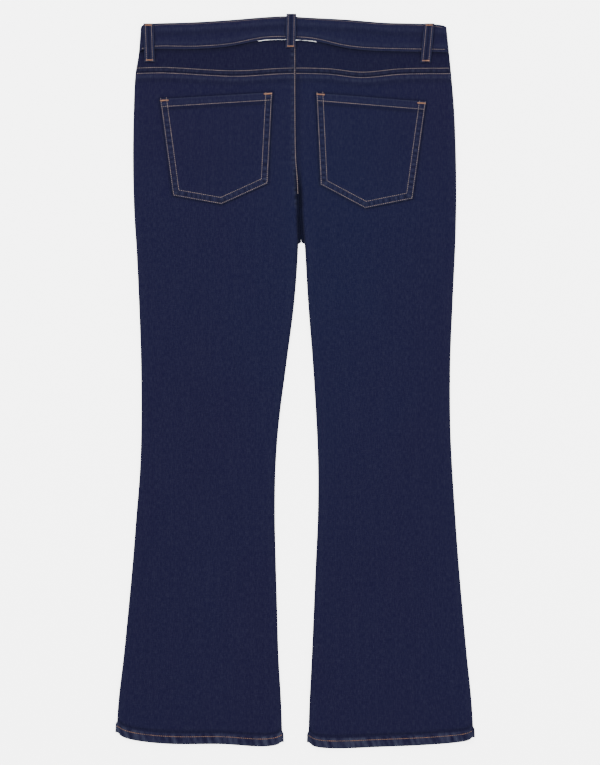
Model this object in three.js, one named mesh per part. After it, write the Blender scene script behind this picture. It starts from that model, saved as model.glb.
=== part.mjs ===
// Bootcut jeans laid flat with the back up: the front layer rests on the surface, the back layer lies
// on it, and each leg is a flattened tube with a soft fold down both edges. Millimetres, +Z up, +Y
// towards the waist, +X towards the wearer's right. The origin is on the surface, under the middle of
// the whole garment.
import * as THREE from "three";

// Driving dimensions
const DENIM = 1.0; // one layer of cloth
const SEAM_GAP = 0.3; // between two sewn pieces
const HALF_GAP = SEAM_GAP / 2;
const CROTCH_Y = 207;
const CROTCH_TURN = 1; // how far below the crotch point the inseams are already apart
const HEM_DEPTH = 14;
const HEM_STEP = 1.2; // above the hem, where the cloth is single again
const HEM_DOUBLING = 1.2; // what the turned-up hem adds to one layer
const HEM_SWELL = 2.5; // how far the hem stands out past the leg's edges
const BAND_THICK = 2.2;
const LOOP_WIDTH = 15;
const LOOP_THICK = 1.8;
const POCKET_THICK = 1.2;
const FRONT_BAND_THICK = 1.5;
const TURN_THIN = 0.4; // how much thinner a band is where it turns round a fold

// The legs' edges in plan, from the waist seam to the hem. The inner columns are the folds' feet: down
// to the crotch they are the two sides of the groove that the seat seam drops into.
const EDGES = [
  { y: 532, leftOuter: -231, leftInner: -4, rightInner: 6, rightOuter: 227 },
  { y: 493, leftOuter: -234, leftInner: -4, rightInner: 6, rightOuter: 231 },
  { y: 458, leftOuter: -239.5, leftInner: -4, rightInner: 6, rightOuter: 234.5 },
  { y: 403, leftOuter: -242, leftInner: -4, rightInner: 6, rightOuter: 239 },
  { y: 335, leftOuter: -243, leftInner: -2.5, rightInner: 7, rightOuter: 241.5 },
  { y: 275, leftOuter: -242, leftInner: 2.5, rightInner: 10.5, rightOuter: 242 },
  { y: 240, leftOuter: -240.5, leftInner: 4, rightInner: 11.5, rightOuter: 241.5 },
  { y: 203, leftOuter: -238, leftInner: 5, rightInner: 14.5, rightOuter: 240.5 },
  { y: 118, leftOuter: -234, leftInner: -1, rightInner: 19.5, rightOuter: 236.5 },
  { y: 28, leftOuter: -231, leftInner: -12.5, rightInner: 26.5, rightOuter: 233 },
  { y: -62, leftOuter: -230.5, leftInner: -24, rightInner: 32, rightOuter: 233 },
  { y: -132, leftOuter: -232.5, leftInner: -29, rightInner: 34.5, rightOuter: 236 },
  { y: -202, leftOuter: -238, leftInner: -30, rightInner: 34, rightOuter: 240.5 },
  { y: -272, leftOuter: -243.5, leftInner: -28.5, rightInner: 31, rightOuter: 245.5 },
  { y: -342, leftOuter: -250, leftInner: -26.5, rightInner: 28, rightOuter: 251.5 },
  { y: -412, leftOuter: -257, leftInner: -24.5, rightInner: 25, rightOuter: 258 },
  { y: -482, leftOuter: -265, leftInner: -20.5, rightInner: 21.5, rightOuter: 265 },
  { y: -545, leftOuter: -268.5, leftInner: -18.5, rightInner: 19.5, rightOuter: 268.5 },
];

// How high the cloth lies. middle is the back layer's top between the folds, outer and inner are the
// crests beside each leg's two folds, rim is the side seam, and under is the front layer's underside.
const HEIGHTS = [
  { y: 515, middle: 7.2, outer: 6.9, inner: 7.2, rim: 4.3, under: 2.1 },
  { y: 493, middle: 7.0, outer: 6.9, inner: 7.0, rim: 4.3, under: 2.1 },
  { y: 460, middle: 6.7, outer: 6.8, inner: 6.7, rim: 4.1, under: 2.1 },
  { y: 440, middle: 6.0, outer: 6.4, inner: 6.0, rim: 3.5, under: 0.6 },
  { y: 415, middle: 5.5, outer: 6.2, inner: 5.5, rim: 3.0, under: 0 },
  { y: 343, middle: 5.0, outer: 6.2, inner: 5.3, rim: 2.8, under: 0 },
  { y: 278, middle: 5.2, outer: 6.2, inner: 8.6, rim: 2.8, under: 0 },
  { y: 240, middle: 5.4, outer: 6.2, inner: 9.8, rim: 2.8, under: 0 },
  { y: 207, middle: 5.2, outer: 6.0, inner: 9.8, rim: 2.8, under: 0 },
  { y: 165, middle: 4.7, outer: 5.8, inner: 8.6, rim: 2.7, under: 0 },
  { y: 118, middle: 4.2, outer: 5.6, inner: 7.2, rim: 2.6, under: 0 },
  { y: 28, middle: 3.6, outer: 5.4, inner: 5.8, rim: 2.6, under: 0 },
  { y: -62, middle: 3.4, outer: 5.2, inner: 5.2, rim: 2.6, under: 0 },
  { y: -400, middle: 3.4, outer: 5.2, inner: 5.2, rim: 2.6, under: 0 },
  { y: -520, middle: 3.8, outer: 5.4, inner: 5.4, rim: 2.6, under: 0 },
];

// The seat seam and the front's centre seam down to the crotch point, where they meet.
const CENTRE_SEAMS = [
  { y: 511, back: 1, front: 0 },
  { y: 343, back: 2, front: 0.5 },
  { y: 300, back: 5, front: 2 },
  { y: 250, back: 7, front: 5 },
  { y: CROTCH_Y, back: 9.6, front: 9.6 },
];

// Seams and edges that run across the garment, from its left side to its right
const WAIST_TOP = [
  { x: -231, y: 531 },
  { x: -215, y: 535.5 },
  { x: -150, y: 538 },
  { x: -100, y: 541 },
  { x: -20, y: 547 },
  { x: 20, y: 545 },
  { x: 75, y: 542 },
  { x: 130, y: 537.5 },
  { x: 205, y: 535 },
  { x: 227, y: 531 },
];
const WAIST_SEAM = [
  { x: -234, y: 493 },
  { x: -210, y: 497.5 },
  { x: -150, y: 497.5 },
  { x: -100, y: 501 },
  { x: -45, y: 511 },
  { x: 0, y: 511.5 },
  { x: 30, y: 509 },
  { x: 75, y: 499 },
  { x: 115, y: 495 },
  { x: 232, y: 492.5 },
];
const YOKE_SEAM = [
  { x: -240, y: 463 },
  { x: -195, y: 464 },
  { x: -90, y: 459 },
  { x: -12, y: 463 },
  { x: 50, y: 462 },
  { x: 100, y: 457 },
  { x: 160, y: 462 },
  { x: 235, y: 463 },
];
const HEMS = {
  left: [
    { x: -271, y: -524 },
    { x: -256, y: -533.5 },
    { x: -226, y: -540 },
    { x: -180, y: -543.5 },
    { x: -110, y: -543.5 },
    { x: -54, y: -547 },
    { x: -30, y: -545 },
    { x: -16, y: -539 },
  ],
  right: [
    { x: 17, y: -539 },
    { x: 30, y: -547 },
    { x: 62, y: -550 },
    { x: 120, y: -548 },
    { x: 200, y: -544.5 },
    { x: 255, y: -539 },
    { x: 271, y: -532 },
  ],
};
const FRONT_WAIST = { middle: 472, sides: 492, halfWidth: 232, bandDepth: 37 };
// The right front band's end lies inside the left's.
const FRONT_OVERLAP = { reach: 18, flat: 6, rise: 1.8, ramp: 9 };
const POCKET_MOUTH = { from: 150, drop: 78, bow: 2.2 }; // scooped from the waist to the side seam
const FACING = {
  from: 138,
  overlap: 16, // how far it reaches down behind the mouth's edge
  inset: 0.6, // between its side and the side seam
  sideRise: 13, // how far its outer corner stays above the mouth's end
  rows: [0, 0.3, 0.6, 0.85, 1],
  columns: [0, 0.12, 0.35, 0.6, 0.8, 0.94, 1],
};
const FLY = {
  left: -16,
  right: 34,
  length: 140,
  rounding: 0.35, // how much shorter its right edge is
  rows: [0, 0.25, 0.5, 0.75, 1],
  columns: [0, 0.3, 0.6, 0.85, 1],
};
const BUTTON = { x: 2, y: 491, radius: 8.5, face: 7.3, back: 6.9, rim: [0.6, 1.1], height: 1.8 };
const BUTTON_SIDES = 24;

// The back pockets' corners, down the middle of their edges
const POCKETS = {
  left: {
    top: [-202.5, 423, -33.5, 433],
    bottom: [-183, 278, -110, 265, -40.5, 296.5],
    point: 0.48,
  },
  right: {
    top: [31.5, 432, 196.5, 419],
    bottom: [38, 294.5, 105, 259, 176.5, 273.5],
    point: 0.5,
  },
};

// The belt loops' ends. lift is how far the middle stands off the waistband.
const LOOPS = [
  { name: "belt_loop_back_centre", x: -5.5, y: 550.5, toX: -6.5, toY: 499.5, up: true, lift: 1 },
  { name: "belt_loop_back_left", x: -219.5, y: 536, toX: -218, toY: 480, up: true, lift: 1 },
  { name: "belt_loop_back_right", x: 201, y: 536, toX: 196, toY: 479, up: true, lift: 1 },
  { name: "belt_loop_front_left", x: -95, y: 515, toX: -95, toY: 466, up: false, lift: 0 },
  { name: "belt_loop_front_right", x: 95, y: 515, toX: 95, toY: 466, up: false, lift: 0 },
];

// Where the rows and columns of a panel fall
const LEG_TOP = 463;
const BEND_HIGH = CROTCH_Y; // above this the rows spread to meet the panel's top edge
const LEG_ROWS = [
  LEG_TOP, 435, 405, 372, 343, 315, 295, 275, 250, 225, CROTCH_Y, CROTCH_Y - CROTCH_TURN, 165, 118, 72,
  28, -17, -62, -105, -150, -202, -272, -342, -412, -482,
].map((y) => ({ y }));
const HEM_ROWS = [HEM_DEPTH + HEM_STEP, HEM_DEPTH, HEM_DEPTH / 2, 0].map((aboveHem) => ({ aboveHem }));
const YOKE_ROWS = [0, 0.33, 0.67, 1].map((share) => ({ share }));
const BAND_ROWS = [0, 0.12, 0.88, 1].map((share) => ({ share }));
const FOLD_TURNS = [0, 30, 60, 90]; // degrees round a fold, from its foot to its crest
const BACK_FOLD = 5; // a fold's width in plan
const FRONT_FOLD = 3;
const SHOULDERS = [12, 30]; // distances in from a crest
const CREST_WIDTH = { outer: 20, inner: 28 };
const INSEAM_DROP = 1.2; // how far below its foot the back panel's inseam edge hangs
const WEB_DROP = 0.7; // how far the seat seam lies below the groove's sides
const INNER_RIM = 3.4; // the foot of the inner folds
const INSEAM_INSET = 0.2; // how far in from the fold's foot the inseam edge lies
const BAND_FLAT_Y = 515; // above this the cloth under the waistband stays as high as here
const POCKET_ROWS = [0, 0.085, 0.1, 0.3, 0.5, 0.7, 0.86, 1];
const POCKET_HEM = { share: 0.1, rise: 0.8 }; // the turned hem along a pocket's mouth
const LOOP_ROWS = [0, 0.08, 0.3, 0.7, 0.92, 1];
const FRONT_MIDDLE = [5, 8]; // the front panel's columns that its waistband follows
const YOKE_MIDDLE = [4, 9]; // the yoke's columns that the back waistband follows
// Heights about where each edge lies, to find where a column meets it
const NEAR = { hem: -535, mouth: 440, yoke: 480, frontWaist: 490, waistSeam: 495, band: 500, waistTop: 530 };

const { cos, sin, abs, exp, min, max, PI } = Math;
const radians = THREE.MathUtils.degToRad;
const { lerp, clamp, smoothstep } = THREE.MathUtils;
const SIDES = { left: -1, right: 1 };
const facingUp = () => new THREE.Vector3(0, 0, 1);
const facingDown = () => new THREE.Vector3(0, 0, -1);

// The value of one column of a table at a place, on a smooth curve through its rows.
function curve(table, key, column, place) {
  const rows = table[0][key] > table.at(-1)[key] ? [...table].reverse() : table;
  const t = clamp(place, rows[0][key], rows.at(-1)[key]);
  const last = rows.length - 1;
  let i = 0;
  while (i < last - 1 && rows[i + 1][key] < t) i++;
  const slope = (k) => {
    const a = rows[max(k - 1, 0)];
    const b = rows[min(k + 1, last)];
    return (b[column] - a[column]) / (b[key] - a[key]);
  };
  const span = rows[i + 1][key] - rows[i][key];
  const s = (t - rows[i][key]) / span;
  return (
    rows[i][column] * (1 + 2 * s) * (1 - s) ** 2 +
    slope(i) * span * s * (1 - s) ** 2 +
    rows[i + 1][column] * s * s * (3 - 2 * s) +
    slope(i + 1) * span * s * s * (s - 1)
  );
}
const edgeX = (side, edge, y) => curve(EDGES, "y", side + edge, y);
const level = (name, y) => curve(HEIGHTS, "y", name, y);
const underside = (y) => max(0, level("under", y));
const seamY = (table, x) => curve(table, "x", "y", x);
const centreX = (layer, y) => curve(CENTRE_SEAMS, "y", layer, y);
const frontWaistY = (x) =>
  lerp(FRONT_WAIST.middle, FRONT_WAIST.sides, (x / FRONT_WAIST.halfWidth) ** 2);

// Whether a height is at the crotch point or above it, give or take rounding
const aboveCrotch = (y) => y > CROTCH_Y - 0.01;

// How far the seat seam has sunk from the top of the cloth, 0, to the bottom of its groove, 1.
const seatDive = (y) => 1 - smoothstep(y, 275, 335);

// How far the front's inner edge has risen from the surface, 0, to the inseam, 1.
const inseamRise = (y) => 1 - smoothstep(y, 196, 214);

// The back layer's top at a point, away from the folds: a flat middle with soft crests beside them.
function backTop(side, x, y) {
  const crest = (edge, width) =>
    exp(-((max(abs(edgeX(side, edge, y) - x) - BACK_FOLD, 0) / width) ** 2));
  const middle = level("middle", y);
  return (
    middle +
    (level("outer", y) - middle) * crest("Outer", CREST_WIDTH.outer) +
    (level("inner", y) - middle) * crest("Inner", CREST_WIDTH.inner)
  );
}

// Where a row crosses a column: at its own height, at a share of the piece's depth, or off the hem.
function rowY(row, top, bottom) {
  if (row.share !== undefined) return lerp(top, bottom, row.share);
  if (row.aboveHem !== undefined) return bottom + row.aboveHem;
  if (row.y <= BEND_HIGH) return row.y;
  return lerp(BEND_HIGH, top, (row.y - BEND_HIGH) / (LEG_TOP - BEND_HIGH));
}

// The columns round one fold and over its shoulder, from the fold's foot inwards
function foldColumns(edge, width) {
  const fold = FOLD_TURNS.map((turn) => ({
    edge,
    inset: width * (1 - cos(radians(turn))),
    rise: sin(radians(turn)),
  }));
  return [...fold, ...SHOULDERS.map((distance) => ({ edge, inset: width + distance, rise: 1 }))];
}

// The columns of a panel from its inner edge to its outer: round one fold, across, round the other.
const legColumns = (width) => [
  ...foldColumns("Inner", width),
  { share: 0.4, rise: 1 },
  { share: 0.62, rise: 1 },
  ...foldColumns("Outer", width).reverse(),
];
const BACK_COLUMNS = legColumns(BACK_FOLD);
const FRONT_COLUMNS = legColumns(FRONT_FOLD);

// A column's place across a panel. The hem stands out past the folds.
function columnX(side, column, y, inner, swell) {
  const out = SIDES[side];
  const outer = edgeX(side, "Outer", y);
  if (column.share) return lerp(inner, outer, column.share);
  const turn = column.edge === "Inner" ? -out : out;
  const foot = column.edge === "Inner" ? inner : outer;
  return foot - turn * column.inset + turn * swell * HEM_SWELL * (1 - column.rise);
}

// A row of a back panel's outer face, from the seam at the middle round to the side seam
function backRow(side, row, top, bottom) {
  const out = SIDES[side];
  const swell = row.aboveHem <= HEM_DEPTH ? 1 : 0;
  const points = BACK_COLUMNS.map((column) => {
    const place = (y) => columnX(side, column, y, edgeX(side, "Inner", y), swell);
    const near = place(row.y ?? (row.share === undefined ? NEAR.hem : NEAR.yoke));
    const y = rowY(row, top(near), bottom(near));
    const x = place(y);
    const toCrest = column.rise < 1 ? BACK_FOLD - column.inset : 0;
    const crestX = x + (column.edge === "Inner" ? out : -out) * toCrest;
    const crest = backTop(side, crestX, y) + swell * HEM_DOUBLING;
    const foot =
      column.edge === "Inner" ? lerp(crest, INNER_RIM, seatDive(y)) : level("rim", y) + HALF_GAP;
    return new THREE.Vector3(x, y, lerp(foot, crest, column.rise));
  });
  return [seamEdge(out, points[0]), ...points];
}

// A back panel's innermost column: down to the crotch it runs along the seat seam, at the bottom of the
// groove, and below that it is the inseam, just under the fold's foot.
function seamEdge(out, foot) {
  if (!aboveCrotch(foot.y))
    return new THREE.Vector3(foot.x + out * INSEAM_INSET, foot.y, foot.z - INSEAM_DROP);
  const x = centreX("back", foot.y) + out * HALF_GAP;
  return new THREE.Vector3(x, foot.y, foot.z - WEB_DROP * seatDive(foot.y));
}

// A row of a front panel's outer face, which looks down
function frontRow(side, row, top, bottom) {
  const out = SIDES[side];
  const swell = row.aboveHem <= HEM_DEPTH ? 1 : 0;
  return FRONT_COLUMNS.map((column) => {
    const place = (y) => {
      const seam = centreX("front", y) + out * HALF_GAP;
      return columnX(side, column, y, aboveCrotch(y) ? seam : edgeX(side, "Inner", y), swell);
    };
    const near = place(row.y ?? NEAR.hem);
    const y = rowY(row, top(near), bottom(near));
    const under = underside(y);
    const inseam = lerp(under, INNER_RIM - INSEAM_DROP - SEAM_GAP, inseamRise(y));
    const rim = column.edge === "Inner" ? inseam : level("rim", y) - HALF_GAP;
    return new THREE.Vector3(place(y), y, lerp(rim, under, column.rise));
  });
}

// Outward normals of a grid of points, from each point's neighbours
function normals(grid, outward) {
  return grid.map((row, i) =>
    row.map((_, j) => {
      const below = grid[min(i + 1, grid.length - 1)][j];
      const along = row[min(j + 1, row.length - 1)].clone().sub(row[max(j - 1, 0)]);
      return below
        .clone()
        .sub(grid[max(i - 1, 0)][j])
        .cross(along)
        .multiplyScalar(outward)
        .normalize();
    }),
  );
}

// A closed wall: the grid is its outer face, and its inner face is the same points moved in by their
// thickness. outward is 1 where rows x columns gives the outward side, else -1. turned may bend a
// normal, so that a wall's edge faces its neighbour squarely.
function wall(grid, outward, thickness, turned = (n) => n) {
  const [rows, columns] = [grid.length, grid[0].length];
  const normal = normals(grid, outward);
  const inner = grid.map((row, i) =>
    row.map((p, j) =>
      p.clone().addScaledVector(turned(normal[i][j], p, j).normalize(), -thickness(p, i, j)),
    ),
  );
  const points = [...grid, ...inner].flat();
  const outerAt = (i, j) => i * columns + j;
  const innerAt = (i, j) => (rows + i) * columns + j;
  const index = [];
  const quad = (a, b, c, d) =>
    outward > 0 ? index.push(a, b, c, a, c, d) : index.push(a, c, b, a, d, c);
  for (let i = 0; i < rows - 1; i++)
    for (let j = 0; j < columns - 1; j++) {
      quad(outerAt(i, j), outerAt(i + 1, j), outerAt(i + 1, j + 1), outerAt(i, j + 1));
      quad(innerAt(i, j), innerAt(i, j + 1), innerAt(i + 1, j + 1), innerAt(i + 1, j));
    }
  const [bottom, end] = [rows - 1, columns - 1];
  for (let j = 0; j < end; j++) {
    quad(outerAt(0, j), outerAt(0, j + 1), innerAt(0, j + 1), innerAt(0, j));
    quad(outerAt(bottom, j), innerAt(bottom, j), innerAt(bottom, j + 1), outerAt(bottom, j + 1));
  }
  for (let i = 0; i < bottom; i++) {
    quad(outerAt(i, 0), innerAt(i, 0), innerAt(i + 1, 0), outerAt(i + 1, 0));
    quad(outerAt(i, end), outerAt(i + 1, end), innerAt(i + 1, end), innerAt(i, end));
  }
  const geometry = new THREE.BufferGeometry();
  const positions = points.flatMap((p) => [p.x, p.y, p.z]);
  geometry.setAttribute("position", new THREE.Float32BufferAttribute(positions, 3));
  geometry.setIndex(index);
  return geometry;
}

// The height of a faceted grid over a point of the plan, or nothing beside it
function heightOn(grid, x, y) {
  const point = new THREE.Vector3(x, y, 0);
  const weights = new THREE.Vector3();
  const flat = (p) => new THREE.Vector3(p.x, p.y, 0);
  let found = -Infinity;
  for (let i = 0; i < grid.length - 1; i++)
    for (let j = 0; j < grid[0].length - 1; j++) {
      const [a, b, c, d] = [grid[i][j], grid[i + 1][j], grid[i + 1][j + 1], grid[i][j + 1]];
      for (const corners of [[a, b, c], [a, c, d]]) {
        const made = THREE.Triangle.getBarycoord(point, ...corners.map(flat), weights);
        if (!made || min(weights.x, weights.y, weights.z) < -1e-6) continue;
        const z = corners[0].z * weights.x + corners[1].z * weights.y + corners[2].z * weights.z;
        found = max(found, z);
      }
    }
  return found;
}

const COLOURS = {
  denim: { color: "#1f2542", roughness: 0.9, metalness: 0 },
  yoke: { color: "#1c223d", roughness: 0.9, metalness: 0 },
  trim: { color: "#232b4c", roughness: 0.9, metalness: 0 },
  metal: { color: "#8a6f4d", roughness: 0.4, metalness: 1 },
};
const jeans = new THREE.Group();
function add(name, geometry, colour) {
  const mesh = new THREE.Mesh(geometry, new THREE.MeshStandardMaterial(COLOURS[colour]));
  mesh.name = name;
  jeans.add(mesh);
}

const isHem = (row) => row.aboveHem <= HEM_DEPTH;
const legRows = [...LEG_ROWS, ...HEM_ROWS];
const legThickness = (_, i) => DENIM + (isHem(legRows[i]) ? HEM_DOUBLING : 0);
const frontThickness = (p, i, j) => (FRONT_COLUMNS[j].rise < 1 ? DENIM : legThickness(p, i));
const yokeTops = {};
const overFront = {};

for (const [side, out] of Object.entries(SIDES)) {
  const hem = (x) => seamY(HEMS[side], x);
  const outwards = new THREE.Vector3(out, 0, 0);

  // Back panel and yoke
  const yokeBelow = (x) => seamY(YOKE_SEAM, x) + HALF_GAP;
  const yokeTop = (x) => seamY(WAIST_SEAM, x) - HALF_GAP;
  const backPanel = legRows.map((row) =>
    backRow(side, row, (x) => seamY(YOKE_SEAM, x) - HALF_GAP, hem),
  );
  const yoke = YOKE_ROWS.map((row) => backRow(side, row, yokeTop, yokeBelow));
  const lastColumn = backPanel[0].length - 1;
  const backTurned = (n, p, j) => {
    if (j === lastColumn) return outwards.clone();
    if (j === 0 && !aboveCrotch(p.y)) return outwards.clone().negate();
    return n;
  };
  add(side + "_back_panel", wall(backPanel, out, legThickness, backTurned), "denim");
  add(side + "_yoke", wall(yoke, out, () => DENIM, backTurned), "yoke");
  yokeTops[side] = yoke[0].slice(...YOKE_MIDDLE);

  // Front panel, its outer top corner scooped out for the pocket
  const mouthY = (x) => {
    const waist = frontWaistY(x) - HALF_GAP;
    const edge = abs(edgeX(side, "Outer", NEAR.mouth));
    const s = clamp((abs(x) - POCKET_MOUTH.from) / (edge - POCKET_MOUTH.from), 0, 1);
    const { drop, bow } = POCKET_MOUTH;
    return waist - drop * (1 - (1 - s ** bow) ** (1 / bow));
  };
  const frontPanel = legRows.map((row) => frontRow(side, row, mouthY, hem));
  overFront[side] = frontPanel[0].slice(...FRONT_MIDDLE);
  const frontTurned = (n, p, j) => {
    if (j === frontPanel[0].length - 1) return outwards.clone();
    if (j === 0) return n.lerp(outwards.clone().negate(), inseamRise(p.y));
    return n;
  };
  add(side + "_front_panel", wall(frontPanel, -out, frontThickness, frontTurned), "denim");

  // Pocket facing: the flat piece behind the mouth, from the waist to the side seam
  const facing = FACING.rows.map((share) =>
    FACING.columns.map((across) => {
      const place = (y) => lerp(FACING.from, abs(edgeX(side, "Outer", y)) - FACING.inset, across);
      const behind = FACING.overlap * (1 - smoothstep(across, 0.7, 0.94));
      const low = mouthY(place(NEAR.mouth)) - behind + (across === 1 ? FACING.sideRise : 0);
      const y = lerp(frontWaistY(place(NEAR.frontWaist)) - HALF_GAP, low, share);
      const x = place(y);
      const inside = underside(y) + DENIM + SEAM_GAP;
      const seam = max(inside, level("rim", y) - HALF_GAP - DENIM);
      return new THREE.Vector3(out * x, y, across === 1 ? seam : inside);
    }),
  );
  const facingThickness = (p, i, j) =>
    j === FACING.columns.length - 1 ? min(DENIM, level("rim", p.y) - HALF_GAP - p.z) : DENIM;
  add(side + "_pocket_facing", wall(facing, -out, facingThickness, facingDown), "trim");

  // Back pocket, with the turned hem along its mouth
  const { top, bottom, point } = POCKETS[side];
  const pocket = POCKET_ROWS.map((share) =>
    [0, 0.16, 0.32, point, 0.66, 0.83, 1].map((across) => {
      const early = across <= point;
      const along = early ? across / point : (across - point) / (1 - point);
      const [x0, y0, x1, y1] = early ? bottom.slice(0, 4) : bottom.slice(2);
      const x = lerp(lerp(top[0], top[2], across), lerp(x0, x1, along), share);
      const y = lerp(lerp(top[1], top[3], across), lerp(y0, y1, along), share);
      const bow = share < POCKET_HEM.share ? POCKET_HEM.rise : 0;
      return new THREE.Vector3(x, y, heightOn(backPanel, x, y) + SEAM_GAP + POCKET_THICK + bow);
    }),
  );
  const pocketThickness = (_, i) =>
    POCKET_THICK + (POCKET_ROWS[i] < POCKET_HEM.share ? POCKET_HEM.rise : 0);
  add(side + "_back_pocket", wall(pocket, 1, pocketThickness, facingUp), "denim");
}

// Waistband: one piece across the back, two in front whose ends overlap at the button
const bandBackTop = (x, y) => backTop(x < 0 ? "left" : "right", x, min(y, BAND_FLAT_Y));
const overYoke = (side) => yokeTops[side].map(({ x }) => ({ x, rise: 1 }));
const bandColumns = [
  ...foldColumns("left", BACK_FOLD),
  ...overYoke("left").reverse(),
  { x: centreX("back", CENTRE_SEAMS[0].y), rise: 1 },
  ...overYoke("right"),
  ...foldColumns("right", BACK_FOLD).reverse(),
];
const bandBack = BAND_ROWS.map((row) =>
  bandColumns.map((column) => {
    const out = SIDES[column.edge];
    const place = (y) => column.x ?? edgeX(column.edge, "Outer", y) - out * column.inset;
    const top = seamY(WAIST_TOP, place(NEAR.waistTop));
    const y = rowY(row, top, seamY(WAIST_SEAM, place(NEAR.waistSeam)) + HALF_GAP);
    const edge = column.rise < 1 ? out * (column.inset - BACK_FOLD) : 0;
    const crest = bandBackTop(place(y) + edge, y);
    const rim = level("rim", y) + HALF_GAP;
    return new THREE.Vector3(place(y), y, lerp(rim, crest, column.rise));
  }),
);
const bandThickness = (thick, columns) => (p, i, j) =>
  thick - (columns[j].rise < 1 ? TURN_THIN : 0);
const sideways = (columns) => (n, p, j) =>
  j === 0 || j === columns - 1 ? new THREE.Vector3(j === 0 ? -1 : 1, 0, 0) : n;
add(
  "waistband_back",
  wall(bandBack, 1, bandThickness(BAND_THICK, bandColumns), sideways(bandColumns.length)),
  "trim",
);

for (const [side, out] of Object.entries(SIDES)) {
  const { reach, flat, rise, ramp } = FRONT_OVERLAP;
  const inside = side === "right" ? rise : 0;
  const columns = [
    ...[-reach, -flat, flat, reach, reach + ramp].map((x) => ({ x, rise: 1 })),
    ...overFront[side].map(({ x }) => ({ x: abs(x), rise: 1 })),
    ...foldColumns("Outer", FRONT_FOLD).reverse(),
  ];
  const band = BAND_ROWS.map((row) =>
    columns.map((column) => {
      const place = (y) =>
        column.edge ? edgeX(side, "Outer", y) - out * column.inset : out * column.x;
      const near = place(NEAR.band);
      const bottom = frontWaistY(near) + HALF_GAP;
      const y = rowY(row, bottom + FRONT_WAIST.bandDepth, bottom);
      const lifted = inside * (1 - smoothstep(abs(place(y)), reach, reach + ramp));
      const under = underside(NEAR.band) + (abs(column.x) <= reach + ramp ? lifted : 0);
      const rim = level("rim", y) - HALF_GAP;
      return new THREE.Vector3(place(y), y, lerp(rim, under, column.rise));
    }),
  );
  const turned = (n, p, j) => {
    if (j === columns.length - 1) return new THREE.Vector3(out, 0, 0);
    return j === 0 ? new THREE.Vector3(0, 0, -1) : n;
  };
  const thickness = bandThickness(FRONT_BAND_THICK, columns);
  add("waistband_front_" + side, wall(band, -out, thickness, turned), "trim");
}

// Belt loops
for (const loop of LOOPS) {
  const rows = LOOP_ROWS.map((share) =>
    [-0.5, 0.5].map((across) => {
      const y = lerp(loop.y, loop.toY, share);
      const x = lerp(loop.x, loop.toX, share) + across * LOOP_WIDTH;
      const stand = loop.lift * sin(PI * share) ** 0.5;
      const surface = loop.up ? bandBackTop(lerp(loop.x, loop.toX, share), y) : 0;
      return new THREE.Vector3(x, y, loop.up ? surface + SEAM_GAP + LOOP_THICK + stand : 0);
    }),
  );
  const looks = loop.up ? facingUp : facingDown;
  add(loop.name, wall(rows, looks().z, () => LOOP_THICK, looks), "trim");
}

// Fly: the shield behind the front's opening, its lower corner rounded off
const fly = FLY.rows.map((share) =>
  FLY.columns.map((across) => {
    const x = lerp(FLY.left, FLY.right, across);
    const length = FLY.length * (1 - FLY.rounding * across ** 3);
    const y = frontWaistY(x) - HALF_GAP - share * length;
    return new THREE.Vector3(x, y, underside(y) + DENIM + SEAM_GAP);
  }),
);
add("fly", wall(fly, -1, () => DENIM, facingDown), "trim");

// Button, on the left band's end
const { radius, face, back, rim, height } = BUTTON;
const profile = [
  [0, 0],
  [face, 0],
  [radius, rim[0]],
  [radius, rim[1]],
  [back, height],
  [0, height],
].map(([r, z]) => new THREE.Vector2(r, z));
const button = new THREE.LatheGeometry(profile, BUTTON_SIDES);
button.rotateX(PI / 2);
button.translate(BUTTON.x, BUTTON.y, 0);
add("button", button, "metal");

const box = new THREE.Box3().setFromObject(jeans);
const middle = box.getCenter(new THREE.Vector3());
jeans.children.forEach((mesh) => mesh.geometry.translate(-middle.x, -middle.y, -box.min.z));

export default jeans;
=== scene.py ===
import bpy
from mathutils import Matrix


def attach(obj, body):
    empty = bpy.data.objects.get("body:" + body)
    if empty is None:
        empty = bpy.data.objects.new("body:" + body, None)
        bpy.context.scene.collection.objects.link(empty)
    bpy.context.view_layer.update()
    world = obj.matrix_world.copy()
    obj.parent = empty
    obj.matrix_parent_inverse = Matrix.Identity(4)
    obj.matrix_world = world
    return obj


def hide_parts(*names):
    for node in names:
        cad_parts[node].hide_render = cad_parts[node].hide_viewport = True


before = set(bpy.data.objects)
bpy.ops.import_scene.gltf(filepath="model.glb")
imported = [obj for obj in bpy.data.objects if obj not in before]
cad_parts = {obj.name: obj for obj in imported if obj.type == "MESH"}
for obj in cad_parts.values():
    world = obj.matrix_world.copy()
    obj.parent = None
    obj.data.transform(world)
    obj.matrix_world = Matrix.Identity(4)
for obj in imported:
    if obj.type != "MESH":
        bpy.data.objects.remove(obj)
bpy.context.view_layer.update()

import math
import random

import bmesh
import bpy
from mathutils import Matrix, Vector, noise

# Everything below is worked out in millimetres and written to the meshes in metres.
MM = 0.001
random.seed(7)

# Sizes that the whole garment shares
DENIM = 1.0
SEAM_GAP = 0.3
FELLED_GAP = 0.03  # a felled seam's two cloths all but touch
CROTCH_Y = 207
LEG_TOP = 463
HEM_BEND = -482  # below this the rows follow the hem's curve
LEG_BOTTOM = -545
HEM_DEPTH = 16
HEM_STITCH = 11.4
HEM_RAISE = 0.9
FOLD = 5.0
FRONT_FOLD = 3.0
INNER_RIM = 3.4
INSEAM_DROP = 1.2
WEB_DROP = 0.7
STITCH_PITCH = 2.85
TWIN_ROWS = 8.2  # between the two rows of a felled seam
POCKET_ROWS = 8.6
PUCKER_PITCH = 8.0
# Painted shade in the troughs between gathered ridges: the next value sets how dark it is.
TROUGH_PAINTED_SHADE = 1.1  # how dark the troughs between gathered ridges are
NO_HEM = -9999  # stands for the hem on a piece that has none
HEM_SWELL = 2.0  # how far the hem stands out past the leg's edges
INSEAM_INSET = 0.2
BAND_THICK = 1.9
BAND_FLAT_Y = 515  # above this the cloth under the waistband stays as high as here
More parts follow.
